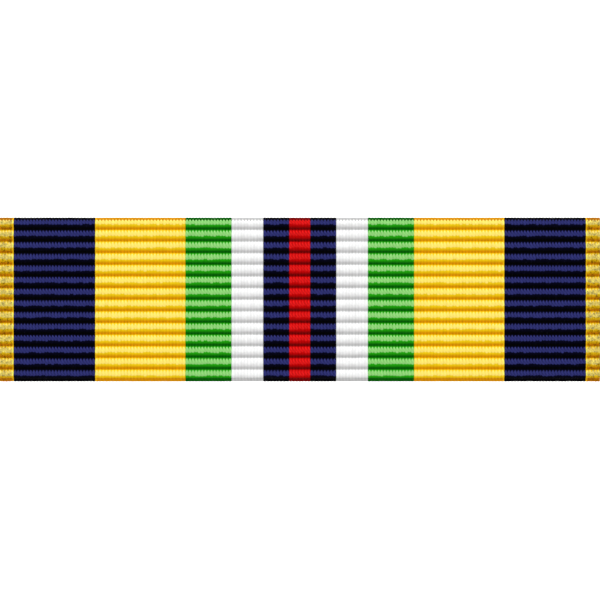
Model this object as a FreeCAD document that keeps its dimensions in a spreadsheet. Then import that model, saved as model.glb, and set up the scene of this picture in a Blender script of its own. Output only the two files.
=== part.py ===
import FreeCAD, Part
import os
import re
import Sketcher

# A one-place service ribbon bar, worn pinned on a garment.
# A woven ribbon is wrapped round a thin brass carrier, which slides on a mounting bar. Two posts
# on the bar go through the cloth, and a butterfly clutch snaps into the notch of each post.
#
# Frame: X along the ribbon, Z up as worn, and Y towards the garment. The origin is the middle of
# the plane that touches the cloth, so the ribbon's face looks along -Y and the posts along +Y.
# Millimetres and degrees.

SIZES = [
    ("ribbon_length", 34.925, "ribbon width as cut from the reel, 1 3/8 inch"),
    ("ribbon_height", 9.525, "height of one row of ribbons, 3/8 inch"),
    ("ribbon_gauge", 0.36, "thickness of the ribbed ribbon"),
    ("ribbon_bend", 0.42, "outside radius of the ribbon over an edge"),
    ("flap_edge", 2.95, "height of a back flap's cut edge above the centre line"),
    ("glue_gap", 0.02, "between the ribbon and the carrier"),
    ("carrier_length", 34.6, "a little shorter than the ribbon, so no brass shows"),
    ("carrier_gauge", 0.25, "sheet brass"),
    ("carrier_bend", 0.3, "outside radius of the carrier's folds"),
    ("lip_edge", 2.75, "height of a lip's free edge above the centre line"),
    ("slide_gap", 0.06, "between the carrier and the bar, front and back"),
    ("bar_length", 33.6, "mounting bar"),
    ("bar_height", 7.9, "mounting bar"),
    ("bar_gauge", 0.8, "mounting bar"),
    ("bar_corner", 0.8, "radius of the bar's corners"),
    ("bar_edge", 0.12, "rounding of the bar's long edges"),
    ("post_spacing", 19.05, "between the two posts, 3/4 inch"),
    ("post_radius", 0.55, "shank of a post"),
    ("neck_radius", 0.75, "neck of a post in the bar"),
    ("neck_gap", 0.02, "solder round the neck"),
    ("head_radius", 1.5, "flat head of a post"),
    ("head_gauge", 0.33, "flat head of a post"),
    ("recess_depth", 0.35, "recess for the head in the bar's face"),
    ("shoulder_radius", 0.5, "post beside its notch"),
    ("notch_radius", 0.38, "post in its notch"),
    ("notch_length", 0.42, "straight part of the notch"),
    ("notch_flank", 0.14, "slope at each end of the notch"),
    ("notch_place", 1.0, "middle of the notch behind the clutch's face"),
    ("point_length", 1.05, "point of the post beyond the notch"),
    ("point_radius", 0.06, "blunted tip of the point"),
    ("clutch_place", 3.4, "clutch's face behind the cloth plane, with no cloth in between"),
    ("clutch_radius", 4.55, "clutch base, hidden behind the ribbon"),
    ("clutch_gauge", 0.3, "sheet of the clutch base"),
    ("clutch_hole", 0.65, "hole for the post"),
    ("rim_height", 0.85, "rolled rim of the base"),
    ("rim_lip", 4.05, "inner radius of the rolled rim"),
    ("rim_round", 0.16, "rounding of the rim"),
    ("cover_radius", 3.75, "clutch cover"),
    ("cover_gauge", 0.25, "sheet of the cover"),
    ("cover_height", 3.3, "top of the cover behind the clutch's face"),
    ("cover_round", 0.6, "outside radius of the cover's shoulder"),
    ("flange_radius", 4.2, "foot of the cover, held under the rim"),
    ("flange_gauge", 0.22, "foot of the cover"),
    ("dome_radius", 1.5, "pressed dome in the middle of the cover"),
    ("dome_height", 0.4, "pressed dome"),
    ("slot_low", 1.95, "start of the wing slot behind the clutch's face"),
    ("slot_width", 2.8, "wing slot"),
    ("jaw_gauge", 0.3, "sheet of a jaw and its wing"),
    ("jaw_tip", 0.1, "end of a jaw beside the middle of the clutch"),
    ("jaw_bore", 0.42, "notch of a jaw round the post"),
    ("jaw_width", 2.3, "jaw and its arm"),
    ("leg_place", 1.6, "middle of the leg beside the middle of the clutch"),
    ("pivot_place", 2.35, "fulcrum behind the clutch's face"),
    ("arm_end", 4.15, "bend from the arm to the wing"),
    ("wing_length", 3.4, "wing beyond the arm, on a slope of 4 in 3"),
    ("wing_width", 4.2, "wing"),
    ("wing_corner", 1.4, "rounding of the wing's corners"),
    ("spring_radius", 2.4, "ring spring round the legs of the jaws"),
    ("wire_radius", 0.15, "wire of the ring spring"),
    ("spring_place", 1.6, "ring spring behind the clutch's face"),
]

# Planes of the stack, from the cloth to the ribbon's face, as formulas of the sheet.
FLAP_BACK = "0"
LIP_BACK = "-(ribbon_gauge + glue_gap)"
BAR_BACK = "-(ribbon_gauge + glue_gap + carrier_gauge + slide_gap)"
BAR_FACE = "-(ribbon_gauge + glue_gap + carrier_gauge + slide_gap + bar_gauge)"
CARRIER_FACE = "-(ribbon_gauge + glue_gap + 2 * carrier_gauge + 2 * slide_gap + bar_gauge)"
RIBBON_FACE = "-(2 * ribbon_gauge + 2 * glue_gap + 2 * carrier_gauge + 2 * slide_gap + bar_gauge)"
HEAD_SEAT = "-(ribbon_gauge + glue_gap + carrier_gauge + slide_gap + bar_gauge - recess_depth)"
NOTCH = "clutch_place + notch_place"
SIDES = {"left": "-post_spacing / 2", "right": "post_spacing / 2"}

doc = FreeCAD.newDocument("ribbon_bar")
sheet = doc.addObject("Spreadsheet::Sheet", "Sizes")


def fill_sheet():
    for row, (name, number, note) in enumerate(SIZES, start=1):
        sheet.set(f"A{row}", name)
        sheet.set(f"B{row}", str(number))
        sheet.set(f"C{row}", note)
        sheet.setAlias(f"B{row}", name)
    doc.recompute()


def formula(text):
    """The same formula with every word made a cell of the sheet."""
    return re.sub(r"[a-z_]+", lambda word: f"Sizes.{word.group()}", text)


def size(text):
    return float(sheet.evalExpression(formula(text)))


def origin_feature(body, role):
    return next(part for part in body.Origin.OriginFeatures if part.Role == role)


def new_body(label, across=None, back=None, half_turn=False):
    """A body placed by formulas; half_turn turns it about the axis of its post."""
    body = doc.addObject("PartDesign::Body", label)
    body.Label = label
    if half_turn:
        body.Placement.Rotation = FreeCAD.Rotation(FreeCAD.Vector(0, 1, 0), 180)
    if across:
        body.setExpression("Placement.Base.x", formula(across))
    if back:
        body.setExpression("Placement.Base.y", formula(back))
    return body


def new_sketch(body, role, name, lift=None):
    """A sketch on an origin plane of its body, lifted along the plane's normal by a formula."""
    sketch = body.newObject("Sketcher::SketchObject", name)
    sketch.AttachmentSupport = [(origin_feature(body, role), "")]
    sketch.MapMode = "FlatFace"
    if lift:
        sketch.setExpression("AttachmentOffset.Base.z", formula(lift))
    return sketch


def pin(sketch, element, point, formulas):
    """Bind a point of an element to the sheet, measured from the sketch's origin."""
    for kind, text in zip(("DistanceX", "DistanceY"), formulas):
        number = sketch.addConstraint(
            Sketcher.Constraint(kind, -1, 1, element, point, size(text))
        )
        sketch.setExpression(f"Constraints[{number}]", formula(text))


def add_polygon(sketch, corners):
    places = [FreeCAD.Vector(size(across), size(up), 0) for across, up in corners]
    count = len(places)
    for i in range(count):
        sketch.addGeometry(Part.LineSegment(places[i], places[(i + 1) % count]), False)
    for i in range(count):
        sketch.addConstraint(Sketcher.Constraint("Coincident", i, 2, (i + 1) % count, 1))
    for i, formulas in enumerate(corners):
        pin(sketch, i, 1, formulas)


def add_circle(sketch, across, radius):
    """A circle on the first axis of the sketch."""
    centre = FreeCAD.Vector(size(across), 0, 0)
    element = sketch.addGeometry(
        Part.Circle(centre, FreeCAD.Vector(0, 0, 1), size(radius)), False
    )
    pin(sketch, element, 3, (across, "0"))
    number = sketch.addConstraint(Sketcher.Constraint("Radius", element, size(radius)))
    sketch.setExpression(f"Constraints[{number}]", formula(radius))


def pad(body, sketch, length, centred=False):
    feature = body.newObject("PartDesign::Pad", f"{sketch.Name}_pad")
    feature.Profile = sketch
    feature.Midplane = centred
    feature.setExpression("Length", formula(length))
    doc.recompute()


def revolve(body, sketch):
    feature = body.newObject("PartDesign::Revolution", f"{sketch.Name}_turned")
    feature.Profile = sketch
    feature.ReferenceAxis = (origin_feature(body, "Y_Axis"), [""])
    feature.Angle = 360
    doc.recompute()


def pocket(body, sketch, length=None):
    """Cut along the sketch's normal for a length, or through everything on both sides."""
    before = body.Tip.Shape.Volume
    feature = body.newObject("PartDesign::Pocket", f"{sketch.Name}_cut")
    feature.Profile = sketch
    if length:
        feature.Reversed = True
        feature.setExpression("Length", formula(length))
    else:
        feature.Type = "ThroughAll"
        feature.Midplane = True
    doc.recompute()
    if not feature.Shape.Volume < before:
        raise ValueError(f"{feature.Name} cuts nothing")
    return feature


def fillet(body, name, radius, chosen):
    """Round the edges of the body for which chosen(edge) holds."""
    base = body.Tip
    edges = [f"Edge{i}" for i, edge in enumerate(base.Shape.Edges, start=1) if chosen(edge)]
    if not edges:
        raise ValueError(f"{name} finds no edge")
    feature = body.newObject("PartDesign::Fillet", name)
    feature.Base = (base, edges)
    feature.setExpression("Radius", formula(radius))
    doc.recompute()


def runs_along(edge, axis):
    """True for a straight edge along one of the axes, given as 0, 1 or 2."""
    ends = edge.Vertexes
    if len(ends) != 2 or not isinstance(edge.Curve, Part.Line):
        return False
    step = ends[1].Point - ends[0].Point
    return abs(step[axis]) > 0.999 * step.Length


def is_ring(edge, radius, place):
    """True for a full circle of this radius about the post's axis at this place on it."""
    curve = edge.Curve
    if not isinstance(curve, Part.Circle) or len(edge.Vertexes) != 1:
        return False
    return abs(curve.Radius - size(radius)) < 1e-4 and abs(curve.Center.y - size(place)) < 1e-4


def wrapped_section(back, face, half_height, gauge, flap):
    """Corners of an open-backed channel in the YZ plane: a face, two returns and two back flaps."""
    upper = [
        (f"{back} - {gauge}", flap),
        (back, flap),
        (back, half_height),
        (face, half_height),
    ]
    inner = [
        (f"{face} + {gauge}", f"{half_height} - {gauge}"),
        (f"{back} - {gauge}", f"{half_height} - {gauge}"),
    ]
    mirrored = [(across, f"-({up})") for across, up in reversed(upper)]
    mirrored_inner = [(across, f"-({up})") for across, up in reversed(inner)]
    return upper + mirrored + mirrored_inner + inner


def make_channel(label, section, length, back, face, bend, gauge):
    """Pad the section along X, and round its four folds on both sides of the sheet."""
    body = new_body(label)
    sketch = new_sketch(body, "YZ_Plane", f"{label}_section")
    add_polygon(sketch, section)
    pad(body, sketch, length, centred=True)
    tallest = max(edge.BoundBox.ZMax for edge in body.Tip.Shape.Edges)
    depths = (size(back), size(face))

    def is_outer_fold(edge):
        middle = edge.BoundBox.Center
        on_corner = abs(middle.z) > tallest - 1e-4 and min(abs(middle.y - d) for d in depths) < 1e-4
        return runs_along(edge, 0) and on_corner

    def is_inner_fold(edge):
        middle = edge.BoundBox.Center
        inside = size(back) - size(gauge), size(face) + size(gauge)
        on_corner = abs(abs(middle.z) - tallest + size(gauge)) < 1e-4
        return runs_along(edge, 0) and on_corner and min(abs(middle.y - d) for d in inside) < 1e-4

    fillet(body, f"{label}_outer_folds", bend, is_outer_fold)
    fillet(body, f"{label}_inner_folds", f"{bend} - {gauge}", is_inner_fold)


def make_ribbon():
    section = wrapped_section(
        FLAP_BACK, RIBBON_FACE, "ribbon_height / 2", "ribbon_gauge", "flap_edge"
    )
    make_channel(
        "ribbon", section, "ribbon_length", FLAP_BACK, RIBBON_FACE, "ribbon_bend", "ribbon_gauge"
    )


def make_carrier():
    half_height = "(ribbon_height / 2 - ribbon_gauge - glue_gap)"
    section = wrapped_section(LIP_BACK, CARRIER_FACE, half_height, "carrier_gauge", "lip_edge")
    make_channel(
        "ribbon_carrier",
        section,
        "carrier_length",
        LIP_BACK,
        CARRIER_FACE,
        "carrier_bend",
        "carrier_gauge",
    )


def make_mounting_bar():
    """A flat bar with a recessed hole for each post. Its own zero is its back face."""
    body = new_body("mounting_bar", back=BAR_BACK)
    blank = new_sketch(body, "XZ_Plane", "bar_blank")
    wide, high = "bar_length / 2", "bar_height / 2"
    corners = [(f"-{wide}", f"-{high}"), (wide, f"-{high}"), (wide, high), (f"-{wide}", high)]
    add_polygon(blank, corners)
    pad(body, blank, "bar_gauge")
    fillet(body, "bar_corners", "bar_corner", lambda edge: runs_along(edge, 1))
    fillet(body, "bar_edges", "bar_edge", lambda edge: edge.Length > size("bar_length") / 2)
    hole = new_sketch(body, "XZ_Plane", "post_hole")
    add_circle(hole, "post_spacing / 2", "neck_radius + neck_gap")
    recess = new_sketch(body, "XZ_Plane", "head_recess", lift="bar_gauge - recess_depth")
    add_circle(recess, "post_spacing / 2", "head_radius + 3 * neck_gap")
    cuts = [pocket(body, hole, "bar_gauge"), pocket(body, recess, "recess_depth")]
    mirror = body.newObject("PartDesign::Mirrored", "other_post_hole")
    mirror.Originals = cuts
    mirror.MirrorPlane = (origin_feature(body, "YZ_Plane"), [""])
    body.Tip = mirror
    doc.recompute()


def make_post(side):
    """A turned nail: head, neck in the bar, shank, notch for the jaws, and point."""
    body = new_body(f"{side}_post", across=SIDES[side])
    sketch = new_sketch(body, "XY_Plane", f"{side}_post_profile")
    half = "notch_length / 2"
    add_polygon(
        sketch,
        [
            ("0", f"{HEAD_SEAT} - head_gauge"),
            ("head_radius", f"{HEAD_SEAT} - head_gauge"),
            ("head_radius", HEAD_SEAT),
            ("neck_radius", HEAD_SEAT),
            ("neck_radius", BAR_BACK),
            ("post_radius", BAR_BACK),
            ("post_radius", "clutch_place"),
            ("shoulder_radius", f"{NOTCH} - {half} - notch_flank"),
            ("notch_radius", f"{NOTCH} - {half}"),
            ("notch_radius", f"{NOTCH} + {half}"),
            ("shoulder_radius", f"{NOTCH} + {half} + notch_flank"),
            ("point_radius", f"{NOTCH} + {half} + notch_flank + point_length"),
            ("0", f"{NOTCH} + {half} + notch_flank + point_length"),
        ],
    )
    revolve(body, sketch)


def make_clutch_base(side):
    """A stamped disc with the hole for the post, its rim rolled over the foot of the cover."""
    body = new_body(f"{side}_clutch_base", across=SIDES[side], back="clutch_place")
    sketch = new_sketch(body, "XY_Plane", f"{side}_base_profile")
    add_polygon(
        sketch,
        [
            ("clutch_hole", "0"),
            ("clutch_radius", "0"),
            ("clutch_radius", "rim_height"),
            ("rim_lip", "rim_height"),
            ("rim_lip", "rim_height - clutch_gauge + 0.05"),
            ("clutch_radius - clutch_gauge", "rim_height - clutch_gauge + 0.05"),
            ("clutch_radius - clutch_gauge", "clutch_gauge"),
            ("clutch_hole", "clutch_gauge"),
        ],
    )
    revolve(body, sketch)

    def is_rim(edge):
        return any(is_ring(edge, "clutch_radius", place) for place in ("0", "rim_height"))

    fillet(body, f"{side}_rim_rounding", "rim_round", is_rim)


def make_clutch_cover(side):
    """A drawn cup with a foot under the base's rim, a domed middle and a slot for each wing."""
    body = new_body(f"{side}_clutch_cover", across=SIDES[side], back="clutch_place")
    sketch = new_sketch(body, "XY_Plane", f"{side}_cover_profile")
    foot = "clutch_gauge + glue_gap"
    under = "cover_height - cover_gauge"
    add_polygon(
        sketch,
        [
            ("cover_radius - cover_gauge", foot),
            ("flange_radius", foot),
            ("flange_radius", f"{foot} + flange_gauge"),
            ("cover_radius", f"{foot} + flange_gauge"),
            ("cover_radius", "cover_height"),
            ("dome_radius", "cover_height"),
            ("dome_radius / 2", "cover_height + dome_height"),
            ("0", "cover_height + dome_height"),
            ("0", f"{under} + dome_height"),
            ("dome_radius / 2", f"{under} + dome_height"),
            ("dome_radius", under),
            ("cover_radius - cover_gauge", under),
        ],
    )
    revolve(body, sketch)
    fillet(
        body,
        f"{side}_cover_shoulder",
        "cover_round",
        lambda edge: is_ring(edge, "cover_radius", "cover_height"),
    )
    fillet(
        body,
        f"{side}_cover_inside",
        "cover_round - cover_gauge",
        lambda edge: is_ring(edge, "cover_radius - cover_gauge", under),
    )
    slot = new_sketch(body, "YZ_Plane", f"{side}_wing_slot")
    half = "slot_width / 2"
    corners = [
        ("slot_low", f"-{half}"),
        (under, f"-{half}"),
        (under, half),
        ("slot_low", half),
    ]
    add_polygon(slot, corners)
    pocket(body, slot)


def make_jaw(side, place, half_turn):
    """One jaw bent up with its wing: blade in the notch, leg, arm through the slot, and wing."""
    name = f"{side}_{place}_jaw"
    body = new_body(name, across=SIDES[side], back="clutch_place", half_turn=half_turn)
    lever = new_sketch(body, "XY_Plane", f"{name}_lever")
    half = "jaw_gauge / 2"
    add_polygon(
        lever,
        [
            ("jaw_tip", f"notch_place - {half}"),
            (f"leg_place + {half}", f"notch_place - {half}"),
            (f"leg_place + {half}", f"pivot_place - {half}"),
            ("arm_end", f"pivot_place - {half}"),
            ("arm_end", f"pivot_place + {half}"),
            (f"leg_place - {half}", f"pivot_place + {half}"),
            (f"leg_place - {half}", f"notch_place + {half}"),
            ("jaw_tip", f"notch_place + {half}"),
        ],
    )
    pad(body, lever, "jaw_width", centred=True)

    def is_bend(edge):
        middle = edge.BoundBox.Center
        beside_leg = abs(middle.x - size(f"leg_place - {half}")) < 1e-4
        return beside_leg and middle.y > size("pivot_place") and runs_along(edge, 2)

    fillet(body, f"{name}_bend", half, is_bend)
    wing = new_sketch(body, "XY_Plane", f"{name}_wing")
    outer, low = "arm_end", f"pivot_place - {half}"
    add_polygon(
        wing,
        [
            (outer, low),
            (f"{outer} + 0.6 * wing_length", f"{low} + 0.8 * wing_length"),
            (
                f"{outer} + 0.6 * wing_length - 0.8 * jaw_gauge",
                f"{low} + 0.8 * wing_length + 0.6 * jaw_gauge",
            ),
            (f"{outer} - 0.8 * jaw_gauge", f"{low} + 0.6 * jaw_gauge"),
        ],
    )
    pad(body, wing, "wing_width", centred=True)
    tip_line = size("arm_end + 0.6 * wing_length - 2 * jaw_gauge")

    def is_wing_corner(edge):
        middle = edge.BoundBox.Center
        at_tip = middle.x > tip_line and abs(middle.z) > size("wing_width") / 2 - 1e-4
        return at_tip and abs(edge.Length - size("jaw_gauge")) < 1e-4

    fillet(body, f"{name}_wing_corners", "wing_corner", is_wing_corner)
    bore = new_sketch(body, "XZ_Plane", f"{name}_post_notch")
    add_circle(bore, "0", "jaw_bore")
    pocket(body, bore)


def make_jaw_spring(side):
    """The wire ring that pulls the two jaws together."""
    body = new_body(f"{side}_jaw_spring", across=SIDES[side], back="clutch_place")
    sketch = new_sketch(body, "XY_Plane", f"{side}_wire_section")
    centre = FreeCAD.Vector(size("spring_radius"), size("spring_place"), 0)
    element = sketch.addGeometry(
        Part.Circle(centre, FreeCAD.Vector(0, 0, 1), size("wire_radius")), False
    )
    pin(sketch, element, 3, ("spring_radius", "spring_place"))
    number = sketch.addConstraint(Sketcher.Constraint("Radius", element, size("wire_radius")))
    sketch.setExpression(f"Constraints[{number}]", formula("wire_radius"))
    revolve(body, sketch)


def make_clutch(side):
    """The outer jaw is the one nearer the end of the bar."""
    make_clutch_base(side)
    make_clutch_cover(side)
    make_jaw(side, "outer", half_turn=side == "left")
    make_jaw(side, "inner", half_turn=side == "right")
    make_jaw_spring(side)


def check_model(bodies):
    for item in doc.Objects:
        faults = [state for state in item.State if state in ("Invalid", "Error")]
        if faults:
            raise ValueError(f"{item.Label} is {faults}")
    for body in bodies:
        if body.Shape.isNull() or not body.Shape.isValid() or len(body.Shape.Solids) != 1:
            raise ValueError(f"{body.Label} is not one sound solid")


def main():
    fill_sheet()
    make_ribbon()
    make_carrier()
    make_mounting_bar()
    for side in SIDES:
        make_post(side)
        make_clutch(side)
    doc.recompute()
    bodies = doc.findObjects("PartDesign::Body")
    check_model(bodies)
    os.makedirs("parts", exist_ok=True)
    for body in bodies:
        body.Shape.exportStep(f"parts/{body.Label}.step")
        print(f"{body.Label}: {body.Shape.Volume:.4f} mm3")


main()
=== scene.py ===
import math

import bpy
import numpy as np
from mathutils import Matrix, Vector


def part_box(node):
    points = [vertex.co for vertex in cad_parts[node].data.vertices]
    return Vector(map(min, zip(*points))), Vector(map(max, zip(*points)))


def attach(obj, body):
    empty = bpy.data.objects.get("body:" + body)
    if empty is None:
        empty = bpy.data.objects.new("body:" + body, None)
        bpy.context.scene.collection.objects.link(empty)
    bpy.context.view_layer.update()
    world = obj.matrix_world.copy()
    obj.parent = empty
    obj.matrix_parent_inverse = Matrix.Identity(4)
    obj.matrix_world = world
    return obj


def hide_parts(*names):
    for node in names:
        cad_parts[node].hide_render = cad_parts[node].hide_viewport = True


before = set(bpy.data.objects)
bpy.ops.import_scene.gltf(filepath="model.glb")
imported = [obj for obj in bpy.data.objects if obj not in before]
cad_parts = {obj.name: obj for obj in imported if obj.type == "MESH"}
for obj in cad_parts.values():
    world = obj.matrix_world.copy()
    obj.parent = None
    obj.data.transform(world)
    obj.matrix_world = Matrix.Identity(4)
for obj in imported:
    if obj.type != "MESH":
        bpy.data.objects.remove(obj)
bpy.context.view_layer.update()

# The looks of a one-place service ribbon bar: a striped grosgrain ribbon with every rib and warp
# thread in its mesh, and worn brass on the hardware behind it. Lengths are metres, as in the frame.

MM = 0.001

# The camera stands square to the face, a hair off its middle. FRAMED_SHARE of the ribbon's width
# fills the picture.
CAMERA_SIDE = 0.015 * MM
CAMERA_DROP = -0.03 * MM
FRAMED_SHARE = 0.9973
LENS_MM = 200
SENSOR_MM = 36

# The sky is brighter at the horizon than overhead. ZENITH_FROM is the height from which it is as
# dim as overhead, with the horizon at 0 and straight up at 1.
HORIZON_LIGHT = 0.85
ZENITH_LIGHT = 0.45
ZENITH_FROM = 0.7

# Studio paper, in metres: how far the floor is below the bar's middle and the backdrop behind it.
FLOOR_SIZE = 12.0
FLOOR_DROP = 0.06
BACKDROP_SIZE = 1.2
BACKDROP_AWAY = 0.5
BACKDROP_RISE = 0.4

# The ribbon's folds and its cut edges on the back, in millimetres.
GAUGE = 0.36
BEND = 0.25
FLAP_EDGE = 2.95
INNER_BEND = 0.06

# The weave, in millimetres: RIB from rib to rib and THREAD from warp thread to warp thread.
# FIRST_RIB shifts the first rib of the face down from the upper fold, and LAST_GAP is extra room
# after the last one. CREST is how far a rib stands out of the ribbon's surface, GROOVE how deep
# the crevice under it is, and VALLEY how deep the line between two threads is.
RIB = 0.676
THREAD = 0.184
FACE_RIBS = 14
FIRST_RIB = 0.102
LAST_GAP = 0.083
CREST = 0.01
GROOVE = 0.17
VALLEY = 0.045
THREAD_LIFT = 0.004
PLAIN_JITTER = 0.003
METALLIC_JITTER = 0.015
EDGE_SEAL = 0.15
EDGE_SINK = 0.08

# The rib at each fold is this share as rough as the rest, so that the folds are straight lines.
FOLD_RELIEF = 0.3

# Mesh rows in each rib, as shares of it, and mesh columns in each thread.
FRONT_PHASES = (0.0, 0.09, 0.34, 0.48, 0.62, 0.78, 0.93)
BACK_PHASES = (0.0, 0.12, 0.48, 0.93)
THREAD_COLUMNS = 3

# Each stripe, from the ribbon's edge to its middle: width in millimetres, then the colours of a
# rib's crest, of its lower slope and of the groove. The red one in the middle is given whole.
# The slope and groove colours are darker, deeper copies of the crest colour: painted shade on the
# lower side of each rib and in its groove.
STRIPES = [
    ("metallic", 0.84, (228, 206, 108), (216, 180, 18), (188, 116, 4)),
    ("navy", 4.74, (47, 50, 112), (3, 3, 22), (1, 1, 3)),
    ("gold", 5.24, (251, 226, 113), (232, 196, 18), (210, 140, 3)),
    ("green", 2.68, (144, 209, 121), (34, 160, 14), (4, 88, 5)),
    ("white", 1.84, (242, 242, 242), (224, 224, 224), (190, 190, 190)),
    ("blue", 1.51, (47, 50, 112), (3, 3, 22), (1, 1, 3)),
    ("red", 1.22, (222, 25, 25), (184, 3, 4), (112, 3, 4)),
]
CREST_GAIN = 0.92
SLOPE_GAIN = 1.04
GROOVE_GAIN = 1.06

# Width of the bright thread at each edge of the navy stripe, in millimetres.
EDGE_LINE = 0.065

# Where the colours change along a rib, as shares of it. They run COLOUR_LEAD ahead of its shape.
# A thread's sides come up TOOTH later than its middle, and it goes under within CREST_ENDS.
COLOUR_LEAD = 0.055
TOOTH = 0.19
TOOTH_SOFTNESS = 0.035
CREST_ENDS = (0.41, 0.51)
# The painted shade of the lower slope and groove comes in within GROOVE_STARTS and eases to 0.3 of
# its share within GROOVE_FADES. NOTCH_STARTS is where painted shade between the threads begins.
GROOVE_STARTS = (0.55, 0.85)
GROOVE_FADES = (0.89, 1.0)
NOTCH_STARTS = (0.74, 0.92)

# How many threads sideways the line between two plies runs in one rib.
PLY_SLANT = -2.8


def linear(colour, gain=1.0):
    """A shader colour from one seen on a screen, as bright as gain makes it."""
    shares = [channel / 255 for channel in colour]
    values = [c / 12.92 if c <= 0.04045 else ((c + 0.055) / 1.055) ** 2.4 for c in shares]
    return tuple(min(0.98, value * gain) for value in values) + (1.0,)


# ---------------------------------------------------------------- shader helpers


class Nodes:
    """A material's node tree, with short calls for the nodes used here."""

    def __init__(self, name):
        self.material = bpy.data.materials.new(name)
        self.material.use_nodes = True
        self.tree = self.material.node_tree
        self.shader = self.tree.nodes["Principled BSDF"]

    def add(self, kind, **settings):
        node = self.tree.nodes.new(kind)
        for name, value in settings.items():
            setattr(node, name, value)
        return node

    def feed(self, socket, value):
        if isinstance(value, bpy.types.NodeSocket):
            self.tree.links.new(value, socket)
        else:
            socket.default_value = value

    def math(self, operation, *values):
        node = self.add("ShaderNodeMath", operation=operation)
        for socket, value in zip(node.inputs, values):
            self.feed(socket, value)
        return node.outputs[0]

    def times(self, first, second):
        return self.math("MULTIPLY", first, second)

    def minus(self, first, second):
        return self.math("SUBTRACT", first, second)

    def scaled(self, value, factor, offset):
        """value * factor + offset"""
        return self.math("MULTIPLY_ADD", value, factor, offset)

    def ease(self, value, low, high, start=0.0, end=1.0):
        """Smooth change from start to end as value goes from low to high."""
        node = self.add("ShaderNodeMapRange", interpolation_type="SMOOTHSTEP")
        for socket, number in zip(node.inputs, (value, low, high, start, end)):
            self.feed(socket, number)
        return node.outputs[0]

    def mix(self, share, first, second, blend="MIX"):
        node = self.add("ShaderNodeMix", data_type="RGBA", blend_type=blend)
        self.feed(node.inputs[0], share)
        self.feed(node.inputs[6], first)
        self.feed(node.inputs[7], second)
        return node.outputs[2]

    def combine(self, *values):
        node = self.add("ShaderNodeCombineXYZ")
        for socket, value in zip(node.inputs, values):
            self.feed(socket, value)
        return node.outputs[0]

    def noise(self, place, scale, detail=2.0, roughness=0.5):
        node = self.add("ShaderNodeTexNoise")
        self.feed(node.inputs["Vector"], place)
        node.inputs["Scale"].default_value = scale
        node.inputs["Detail"].default_value = detail
        node.inputs["Roughness"].default_value = roughness
        return node.outputs["Fac"]

    def speckle(self, place):
        """A random number for each whole-number place."""
        node = self.add("ShaderNodeTexWhiteNoise", noise_dimensions="3D")
        self.feed(node.inputs["Vector"], place)
        return node.outputs["Value"]

    def bump(self, height, distance, strength):
        node = self.add("ShaderNodeBump")
        node.inputs["Strength"].default_value = strength
        node.inputs["Distance"].default_value = distance
        self.feed(node.inputs["Height"], height)
        return node.outputs[0]


# ---------------------------------------------------------------- ribbon


def stripe_table(width):
    """(left edge, right edge, thread count) of every stripe across the ribbon, in millimetres."""
    sides = [stripe[1] for stripe in STRIPES[:-1]]
    widths = sides + [STRIPES[-1][1]] + sides[::-1]
    scale = width / sum(widths)
    table = []
    left = -width / 2
    for wide in widths:
        right = left + wide * scale
        table.append((left, right, round(wide / THREAD)))
        left = right
    return table


def thread_columns(width):
    """x, thread number with its fraction, and depth of the valley at every column."""
    places, counts, valleys = [], [], []
    first = 0
    for left, right, threads in stripe_table(width):
        pitch = (right - left) / threads
        for thread in range(threads):
            for step in range(THREAD_COLUMNS):
                share = step / THREAD_COLUMNS
                places.append(left + (thread + share) * pitch)
                counts.append(first + thread + share)
                valleys.append(1.0 if step == 0 else 0.0)
        first += threads
    places.append(width / 2)
    counts.append(float(first))
    valleys.append(1.0)
    return np.array(places), np.array(counts), np.array(valleys)


def wrap_runs(depth, height):
    """The ribbon's outer path from the upper cut edge to the lower one, as straights and bends.
    Each run has its length and a function of the distance along it: y, z and outward normal."""
    top = height / 2
    inner_y, outer_y = -BEND, -depth + BEND

    def straight(start, step, normal):
        def point(along):
            return start[0] + step[0] * along, start[1] + step[1] * along, *normal

        return point

    def bend(centre, angle):
        def point(along):
            turned = angle + along / BEND
            normal = (math.cos(turned), math.sin(turned))
            return centre[0] + BEND * normal[0], centre[1] + BEND * normal[1], *normal

        return point

    quarter = BEND * math.pi / 2
    flap = top - BEND - FLAP_EDGE
    side = depth - 2 * BEND
    face = height - 2 * BEND
    return [
        (flap, straight((0, FLAP_EDGE), (0, 1), (1, 0))),
        (quarter, bend((inner_y, top - BEND), 0)),
        (side, straight((inner_y, top), (-1, 0), (0, 1))),
        (quarter, bend((outer_y, top - BEND), math.pi / 2)),
        (face, straight((-depth, top - BEND), (0, -1), (-1, 0))),
        (quarter, bend((outer_y, BEND - top), math.pi)),
        (side, straight((outer_y, -top), (1, 0), (0, -1))),
        (quarter, bend((inner_y, BEND - top), -math.pi / 2)),
        (flap, straight((0, BEND - top), (0, 1), (1, 0))),
    ]


def follow(runs, distance):
    """y, z and outward normal at a distance along the whole path."""
    for length, point in runs:
        if distance <= length + 1e-9:
            return point(min(distance, length))
        distance -= length
    length, point = runs[-1]
    return point(length)


def rib_rows(runs):
    """Distance along the path and rib number with its fraction, for every row of the outside."""
    total = sum(length for length, _ in runs)
    to_face = sum(length for length, _ in runs[:4])
    face_length = runs[4][0]
    first = to_face + FIRST_RIB - BEND
    last = to_face + face_length + BEND
    clear = 0.02
    rows = [(0.0, -first / RIB)]
    number = math.floor(-first / RIB)
    while True:
        start = first + number * RIB + (LAST_GAP if number >= FACE_RIBS else 0)
        on_face = start + RIB > to_face - BEND and start < last
        for phase in FRONT_PHASES if on_face else BACK_PHASES:
            distance = start + phase * RIB
            if clear < distance < total - clear:
                rows.append((distance, number + phase))
        number += 1
        if start > total:
            break
    rows.append((total, (total - first) / RIB))
    return rows


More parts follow.
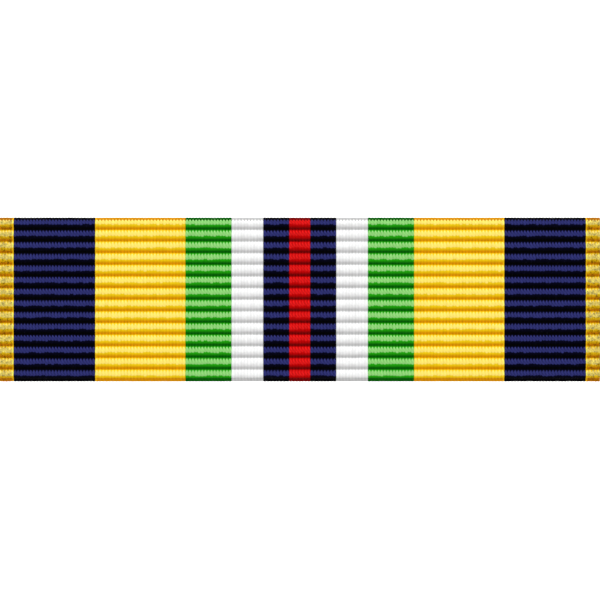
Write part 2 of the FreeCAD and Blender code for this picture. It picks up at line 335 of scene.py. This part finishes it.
def rib_height(phase, valley):
    """0 in the groove to 1 on the crest, for arrays of rib phases and valley shares.
    A rib rises steeply at its start, later in the valleys between threads, and is full until
    0.36. From there it falls in a curve to the crevice at 0.93."""
    late = 0.16 * valley
    rise = np.clip((phase - late + 0.05) / 0.1, 0, 1)
    fall = 1 - np.clip((phase - 0.36 + 0.05 * valley) / 0.57, 0, 1) ** 1.25
    crevice = np.clip((0.93 - phase) / 0.02 + 1, 0, 1)
    return np.sin(rise * math.pi / 2) * fall * crevice


def outside_points(runs, rows, columns, valleys, counts):
    """Points of the ribbed outside: rows by columns by 3, in millimetres.
    Threads differ a little in height, the metallic ones more, and the cut edges are pressed in."""
    rng = np.random.default_rng(11)
    threads = int(counts[-1]) + 1
    thread_lift = rng.normal(0, THREAD_LIFT, threads)[counts.astype(int)]
    metallic_threads = stripe_table(1)[0][2]
    metallic = np.minimum(counts, counts[-1] - counts) < metallic_threads + 0.01
    roughness = np.where(metallic, METALLIC_JITTER, PLAIN_JITTER)
    grid = np.zeros((len(rows), len(columns), 3))
    for i, (distance, number) in enumerate(rows):
        y, z, normal_y, normal_z = follow(runs, distance)
        phase = np.full(len(columns), number % 1.0)
        edge = min(distance, rows[-1][0] - distance)
        free = min(1.0, edge / EDGE_SEAL)
        relief = FOLD_RELIEF if math.floor(number) in (-1, FACE_RIBS) else 1.0
        height = rib_height(phase, valleys * relief)
        lift = GROOVE * (height - 1) + CREST
        lift -= VALLEY * valleys * relief * (0.35 + 0.65 * height)
        jitter = rng.normal(0, 1, len(columns)) * roughness
        lift += (thread_lift + jitter) * (1 - valleys) * relief
        lift = lift * (0.3 + 0.7 * free) - EDGE_SINK * (1 - free)
        grid[i, :, 0] = columns
        grid[i, :, 1] = y + normal_y * lift
        grid[i, :, 2] = z + normal_z * lift
    return grid


def inside_path(depth, height):
    """Rows of the plain inside, as (y, z), each bend as two close rows."""
    near, far, top = -GAUGE, GAUGE - depth, height / 2 - GAUGE
    upper = [
        (near, FLAP_EDGE),
        (near, top - INNER_BEND),
        (near - INNER_BEND, top),
        (far + INNER_BEND, top),
        (far, top - INNER_BEND),
    ]
    return upper + [(y, -z) for y, z in reversed(upper)]


def lengths_along(points):
    """How far along the way through the points each one is, as a share of its length."""
    steps = [math.dist(a, b) for a, b in zip(points, points[1:])]
    whole = sum(steps)
    shares = [0.0]
    for step in steps:
        shares.append(shares[-1] + step / whole)
    return shares


def stitch(first, first_shares, second, second_shares):
    """Triangles between two rows of point numbers that have different counts."""
    faces = []
    i = j = 0
    while i < len(first) - 1 or j < len(second) - 1:
        can_i, can_j = i < len(first) - 1, j < len(second) - 1
        if can_i and (not can_j or first_shares[i + 1] <= second_shares[j + 1]):
            faces.append((first[i], first[i + 1], second[j]))
            i += 1
        else:
            faces.append((first[i], second[j + 1], second[j]))
            j += 1
    return faces


def sheet_quads(start, row_count, column_count, flip):
    quads = []
    for i in range(row_count - 1):
        for j in range(column_count - 1):
            a = start + i * column_count + j
            quad = (a, a + 1, a + column_count + 1, a + column_count)
            quads.append(quad[::-1] if flip else quad)
    return quads


def side_faces(outer, outer_shares, inner, inner_shares, wide):
    """The two woven edges, which join the outside's rows to the inside's."""
    left = stitch(outer, outer_shares, inner, inner_shares)
    outer_ends = [i + wide - 1 for i in outer]
    inner_ends = [i + wide - 1 for i in inner]
    right = stitch(outer_ends, outer_shares, inner_ends, inner_shares)
    return left + [face[::-1] for face in right]


def cut_faces(outer, inner, wide):
    """The two cut edges on the back, by turns."""
    faces = []
    for j in range(wide - 1):
        faces.append((outer[0] + j + 1, outer[0] + j, inner[0] + j, inner[0] + j + 1))
        faces.append((outer[-1] + j, outer[-1] + j + 1, inner[-1] + j + 1, inner[-1] + j))
    return faces


def ribbon_mesh():
    """The ribbon's mesh with its weave numbers, and its flat width and length in metres."""
    low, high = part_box("ribbon")
    width, depth, height = ((high - low) / MM)[:]
    runs = wrap_runs(depth, height)
    rows = rib_rows(runs)
    columns, counts, valleys = thread_columns(width)
    outside = outside_points(runs, rows, columns, valleys, counts)
    path = inside_path(depth, height)
    inside = np.zeros((len(path), len(columns), 3))
    for i, (y, z) in enumerate(path):
        plain = [columns, np.full(len(columns), y), np.full(len(columns), z)]
        inside[i] = np.stack(plain, 1)
    points = np.concatenate([outside.reshape(-1, 3), inside.reshape(-1, 3)]) * MM

    wide = len(columns)
    inner_start = len(rows) * wide
    faces = sheet_quads(0, len(rows), wide, flip=False)
    faces += sheet_quads(inner_start, len(path), wide, flip=True)
    smooth_count = len(faces)
    outer_ids = [i * wide for i in range(len(rows))]
    inner_ids = [inner_start + i * wide for i in range(len(path))]
    outer_shares = [distance / rows[-1][0] for distance, _ in rows]
    inner_shares = lengths_along(path)
    faces += side_faces(outer_ids, outer_shares, inner_ids, inner_shares, wide)
    faces += cut_faces(outer_ids, inner_ids, wide)
    mesh = bpy.data.meshes.new("ribbon_weave")
    mesh.from_pydata(points.tolist(), [], faces)
    smooth = [number < smooth_count for number in range(len(mesh.polygons))]
    mesh.polygons.foreach_set("use_smooth", smooth)

    numbers = np.array([number for _, number in rows])
    inner_numbers = numbers[0] + np.array(inner_shares) * (numbers[-1] - numbers[0])
    row_count = len(rows) + len(path)
    weave = np.zeros((len(points), 3), np.float32)
    weave[:, 0] = np.tile(counts, row_count)
    weave[:, 1] = np.repeat(np.concatenate([numbers, inner_numbers]), wide)
    weave[:, 2] = np.abs(np.tile(columns, row_count)) / (width / 2)
    attribute = mesh.attributes.new("weave", "FLOAT_VECTOR", "POINT")
    attribute.data.foreach_set("vector", weave.ravel())
    mesh.update()
    flat_length = sum(length for length, _ in runs) * MM
    return mesh, (width * MM, flat_length)


def half_width():
    return sum(stripe[1] for stripe in STRIPES[:-1]) + STRIPES[-1][1] / 2


def stripe_colour(nodes, across, which, gain):
    """The colour across the ribbon, from its middle to its edge, of the crest, or the painted shade
    of the slope or the groove, as which picks.
    """
    colour = linear(STRIPES[-1][2 + which], gain)
    edge = STRIPES[-1][1] / 2
    for stripe in reversed(STRIPES[:-1]):
        outside = nodes.math("GREATER_THAN", across, edge / half_width())
        colour = nodes.mix(outside, colour, linear(stripe[2 + which], gain))
        edge += stripe[1]
    return colour


def stripe_lines(nodes, across):
    """1 on the bright thread at each edge of the navy stripe, and 1 on the metallic stripe."""
    outer = 1 - STRIPES[0][1] / half_width()
    inner = outer - STRIPES[1][1] / half_width()
    width = EDGE_LINE / half_width()
    lines = []
    for middle in (outer + width / 2, inner - width / 2):
        away = nodes.math("ABSOLUTE", nodes.minus(across, middle))
        lines.append(nodes.math("LESS_THAN", away, width / 2))
    return nodes.math("ADD", *lines), nodes.math("GREATER_THAN", across, outer)


def fold_shares(nodes, rib):
    """1 on the part of the rib above the face, and of the one below it, that faces the front: where
    the folds' painted shadow goes.
    """
    upper = nodes.times(nodes.ease(rib, -0.8, -0.65), nodes.ease(rib, -0.1, -0.02, 1.0, 0.0))
    begin = nodes.ease(rib, FACE_RIBS - 0.3, FACE_RIBS - 0.1)
    finish = nodes.ease(rib, FACE_RIBS + 0.12, FACE_RIBS + 0.2, 1.0, 0.0)
    return upper, nodes.times(begin, finish)


def ribbon_material():
    """Colours that follow the weave: x counts threads, y counts ribs and z is 0 in the middle of
    the ribbon and 1 at its edge."""
    nodes = Nodes("ribbed_ribbon")
    weave = nodes.add("ShaderNodeAttribute", attribute_name="weave")
    parts = nodes.add("ShaderNodeSeparateXYZ")
    nodes.feed(parts.inputs[0], weave.outputs["Vector"])
    thread, rib, across = parts.outputs
    line, metallic = stripe_lines(nodes, across)
    upper, lower = fold_shares(nodes, rib)

    def woven_noise(threads, ribs, offset, *settings):
        place = nodes.combine(nodes.times(thread, threads), nodes.times(rib, ribs), offset)
        return nodes.noise(place, 1.0, *settings)

    # Each thread comes up round-ended at the top of its rib and goes under at a ragged line.
    led = nodes.math("ADD", rib, COLOUR_LEAD)
    phase = nodes.math("FRACT", led)
    cell = nodes.combine(nodes.math("FLOOR", thread), nodes.math("FLOOR", led), 0.0)
    chance = nodes.speckle(cell)
    from_middle = nodes.minus(nodes.math("FRACT", thread), 0.5)
    to_side = nodes.math("ABSOLUTE", nodes.times(from_middle, 2.0))
    roundness = nodes.math("POWER", to_side, 1.7)
    risen = nodes.minus(phase, nodes.times(roundness, TOOTH))
    rising = nodes.ease(risen, 0.0, TOOTH_SOFTNESS)
    ragged = nodes.scaled(chance, 0.1, nodes.times(roundness, -0.05))
    falling = nodes.ease(nodes.minus(phase, ragged), *CREST_ENDS, 1.0, 0.0)
    # Painted shade comes in over each rib's lower slope and is deepest in the groove.
    deepening = nodes.ease(phase, *GROOVE_STARTS)
    groove_shade_share = nodes.times(deepening, nodes.ease(phase, *GROOVE_FADES, 1.0, 0.3))

    # The folds above the first rib of the face and below the last one have the groove's colour as
    # painted shadow.
    fold_shade = nodes.math("MAXIMUM", upper, lower)
    groove_shade_share = nodes.math("MAXIMUM", groove_shade_share, fold_shade)
    crest_share = nodes.times(nodes.times(rising, falling), nodes.minus(1.0, fold_shade))

    # The crest's colour, and the painted shade of the lower slope and of the groove.
    crest = stripe_colour(nodes, across, 0, CREST_GAIN)
    slope_shade = stripe_colour(nodes, across, 1, SLOPE_GAIN)
    groove_shade = stripe_colour(nodes, across, 2, GROOVE_GAIN)
    colour = nodes.mix(crest_share, nodes.mix(groove_shade_share, slope_shade, groove_shade), crest)

    # The two plies of a thread run diagonally over the crest, with painted shade in the line
    # between them, deeper on dark threads.
    twist = nodes.math("FRACT", nodes.scaled(rib, PLY_SLANT, thread))
    ply_line_shade = nodes.math("ABSOLUTE", nodes.scaled(twist, 2.0, -1.0))
    ply_line_shade = nodes.times(nodes.ease(ply_line_shade, 0.25, 0.75), crest_share)
    grey = nodes.add("ShaderNodeRGBToBW")
    nodes.feed(grey.inputs[0], crest)
    paleness = grey.outputs[0]
    ply_shade_depth = nodes.scaled(paleness, 0.3, -0.27)

    # Threads differ in brightness along and across. Painted shade darkens each thread's sides and
    # parts the threads with dark notches in the groove.
    wander = woven_noise(1.3, 5.0, 0.0)
    notch_shade = nodes.times(nodes.ease(phase, *NOTCH_STARTS), roundness)
    notch_shade = nodes.times(notch_shade, nodes.scaled(paleness, -0.45, 0.5))
    tone_and_shade = nodes.scaled(wander, 0.14, 0.97)
    tone_and_shade = nodes.scaled(ply_line_shade, ply_shade_depth, tone_and_shade)
    tone_and_shade = nodes.scaled(roundness, -0.08, tone_and_shade)
    tone_and_shade = nodes.scaled(chance, 0.05, tone_and_shade)
    tone_and_shade = nodes.minus(tone_and_shade, notch_shade)
    # Painted shade darkens the upper fold, which faces up into the key light.
    tone_and_shade = nodes.scaled(upper, -0.24, tone_and_shade)
    colour = nodes.mix(1.0, colour, nodes.combine(tone_and_shade, tone_and_shade, tone_and_shade), "MULTIPLY")

    # The metallic edge glitters in painted light: painted olive shadows on the crests, painted
    # brown shade in the gaps and painted bright glints on the crests.
    glint_noise = woven_noise(0.9, 3.4, 3.0, 5.0, 0.85)
    painted_shadow_colour = nodes.mix(crest_share, linear((110, 70, 4)), linear((142, 132, 84)))
    painted_shadow_share = nodes.times(nodes.ease(glint_noise, 0.49, 0.62, 0.0, 0.95), metallic)
    colour = nodes.mix(painted_shadow_share, colour, painted_shadow_colour)
    painted_glint_share = nodes.times(nodes.ease(glint_noise, 0.46, 0.34), metallic)
    painted_glint_share = nodes.times(painted_glint_share, crest_share)
    colour = nodes.mix(painted_glint_share, colour, linear((255, 244, 120)))
    # The bright thread at each edge of the navy stripe, with a darker copy on the slope as painted
    # shade.
    edge_thread_colour = nodes.mix(crest_share, linear((255, 200, 10)), linear((255, 250, 100)))
    colour = nodes.mix(nodes.times(line, 0.75), colour, edge_thread_colour)

    inputs = nodes.shader.inputs
    nodes.feed(inputs["Base Color"], colour)
    nodes.feed(inputs["Metallic"], nodes.times(metallic, 0.35))
    nodes.feed(inputs["Roughness"], nodes.scaled(wander, 0.2, 0.5))
    nodes.feed(inputs["Normal"], nodes.bump(woven_noise(5.0, 1.5, 0.0), 0.00001, 0.4))
    inputs["Specular IOR Level"].default_value = 0.02
    return nodes.material


def make_ribbon():
    mesh, flat = ribbon_mesh()
    mesh.materials.append(ribbon_material())
    ribbon = bpy.data.objects.new("ribbon_cloth", mesh)
    bpy.context.scene.collection.objects.link(ribbon)
    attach(ribbon, "ribbon_unit")
    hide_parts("ribbon")


# ---------------------------------------------------------------- hardware


def brass_material(name, colour, roughness, grain, tarnish):
    """Worn brass: fine lines whose spacing is 1 / grain along each axis, and clouded tarnish."""
    nodes = Nodes(name)
    place = nodes.add("ShaderNodeTexCoord").outputs["Object"]
    stretch = nodes.add("ShaderNodeMapping")
    nodes.feed(stretch.inputs["Vector"], place)
    stretch.inputs["Scale"].default_value = grain
    lines = nodes.noise(stretch.outputs[0], 1.0, detail=4.0, roughness=0.6)
    clouds = nodes.noise(place, 420.0, detail=5.0, roughness=0.6)
    stain = nodes.ease(clouds, 0.45, 0.75, 0.0, tarnish)
    dark = tuple(channel * 0.55 for channel in colour)
    base = nodes.mix(stain, linear(colour), linear(dark))
    nodes.feed(nodes.shader.inputs["Base Color"], base)
    nodes.shader.inputs["Metallic"].default_value = 1.0
    worn = nodes.scaled(clouds, 0.25, roughness - 0.12)
    nodes.feed(nodes.shader.inputs["Roughness"], nodes.scaled(lines, 0.12, worn))
    nodes.feed(nodes.shader.inputs["Normal"], nodes.bump(lines, 0.000004, 0.6))
    return nodes.material


def steel_material():
    """Drawn spring wire, mottled light and dark grey."""
    nodes = Nodes("spring_wire")
    place = nodes.add("ShaderNodeTexCoord").outputs["Object"]
    drawn = nodes.noise(place, 2500.0, detail=3.0)
    base = nodes.mix(drawn, (0.42, 0.42, 0.44, 1), (0.62, 0.62, 0.63, 1))
    nodes.feed(nodes.shader.inputs["Base Color"], base)
    nodes.shader.inputs["Metallic"].default_value = 1.0
    nodes.feed(nodes.shader.inputs["Roughness"], nodes.scaled(drawn, 0.2, 0.25))
    return nodes.material


def finish_hardware():
    """Gives every hard piece the material that goes with the ending of its name."""
    carrier = brass_material("carrier_brass", (216, 172, 92), 0.30, (60, 2500, 2500), 0.5)
    bar = brass_material("bar_brass", (210, 166, 88), 0.34, (90, 3500, 3500), 0.6)
    post = brass_material("post_brass", (222, 184, 108), 0.26, (900, 5000, 900), 0.4)
    clutch = brass_material("clutch_brass", (220, 178, 92), 0.2, (600, 600, 600), 0.5)
    jaw = brass_material("jaw_brass", (214, 172, 92), 0.3, (500, 500, 3500), 0.5)
    wire = steel_material()
    looks = {
        "ribbon_carrier": carrier,
        "mounting_bar": bar,
        "post": post,
        "clutch_base": clutch,
        "clutch_cover": clutch,
        "jaw": jaw,
        "jaw_spring": wire,
    }
    for name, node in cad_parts.items():
        for ending, material in looks.items():
            if name.endswith(ending):
                node.material_slots[0].material = material


# ---------------------------------------------------------------- studio


def plane(name, size, place, turn):
    half = size / 2
    corners = [(-half, -half, 0), (half, -half, 0), (half, half, 0), (-half, half, 0)]
    mesh = bpy.data.meshes.new(name)
    mesh.from_pydata(corners, [], [(0, 1, 2, 3)])
    piece = bpy.data.objects.new(name, mesh)
    piece.location = place
    piece.rotation_euler = turn
    bpy.context.scene.collection.objects.link(piece)
    return piece


def make_stage():
    """A wide pale floor, and a backdrop that fills the picture behind the ribbon."""
    behind = (0, BACKDROP_AWAY, BACKDROP_RISE)
    floor = plane("studio_floor", FLOOR_SIZE, (0, 0, -FLOOR_DROP), (0, 0, 0))
    wall = plane("studio_backdrop", BACKDROP_SIZE, behind, (math.pi / 2, 0, 0))
    nodes = Nodes("studio_paper")
    place = nodes.add("ShaderNodeTexCoord").outputs["Object"]
    grain = nodes.noise(place, 300.0)
    paper = nodes.mix(grain, (0.72, 0.72, 0.72, 1), (0.76, 0.76, 0.76, 1))
    nodes.feed(nodes.shader.inputs["Base Color"], paper)
    nodes.shader.inputs["Roughness"].default_value = 0.9
    for piece in (floor, wall):
        piece.data.materials.append(nodes.material)


def area_light(name, place, target, size, power):
    """A soft rectangular light, size in metres and power in watts, turned to its target."""
    light = bpy.data.lights.new(name, "AREA")
    light.shape = "RECTANGLE"
    light.size, light.size_y = size
    light.energy = power
    lamp = bpy.data.objects.new(name, light)
    lamp.location = place
    aim = Vector(target) - Vector(place)
    lamp.rotation_euler = aim.to_track_quat("-Z", "Y").to_euler()
    bpy.context.scene.collection.objects.link(lamp)


def make_light():
    """A broad key light high in front, a weak light from behind and one for the backdrop."""
    area_light("key", (0.0, -0.30, 0.55), (0, 0, 0), (0.5, 0.22), 3.8)
    area_light("back_fill", (0.3, 0.4, 0.4), (0, 0, 0), (0.4, 0.4), 0.3)
    area_light("backdrop_light", (0, 0.3, 0.25), (0, 0.5, 0.0), (0.8, 0.2), 2.6)


def make_sky():
    world = bpy.data.worlds.new("studio")
    world.use_nodes = True
    tree = world.node_tree
    direction = tree.nodes.new("ShaderNodeSeparateXYZ")
    place = tree.nodes.new("ShaderNodeTexCoord")
    tree.links.new(place.outputs["Generated"], direction.inputs[0])
    fade = tree.nodes.new("ShaderNodeMapRange")
    fade.interpolation_type = "SMOOTHSTEP"
    tree.links.new(direction.outputs["Z"], fade.inputs["Value"])
    fade.inputs["From Max"].default_value = ZENITH_FROM
    fade.inputs["To Min"].default_value = HORIZON_LIGHT
    fade.inputs["To Max"].default_value = ZENITH_LIGHT
    tree.links.new(fade.outputs[0], tree.nodes["Background"].inputs["Strength"])
    tree.nodes["Background"].inputs["Color"].default_value = (1, 1, 1, 1)
    bpy.context.scene.world = world


def make_camera():
    """Square to the ribbon's face, whose length fills the picture from side to side."""
    low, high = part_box("ribbon")
    camera = bpy.data.cameras.new("camera")
    camera.lens = LENS_MM
    camera.sensor_width = SENSOR_MM
    camera.clip_start = 0.01
    seen = (high.x - low.x) * FRAMED_SHARE
    distance = seen * LENS_MM / SENSOR_MM
    viewer = bpy.data.objects.new("camera", camera)
    viewer.location = (CAMERA_SIDE, low.y - distance, CAMERA_DROP)
    viewer.rotation_euler = (math.pi / 2, 0, 0)
    bpy.context.scene.collection.objects.link(viewer)
    bpy.context.scene.camera = viewer


make_camera()
make_ribbon()
finish_hardware()
make_stage()
make_light()
make_sky()
bpy.context.scene.view_settings.view_transform = "Standard"
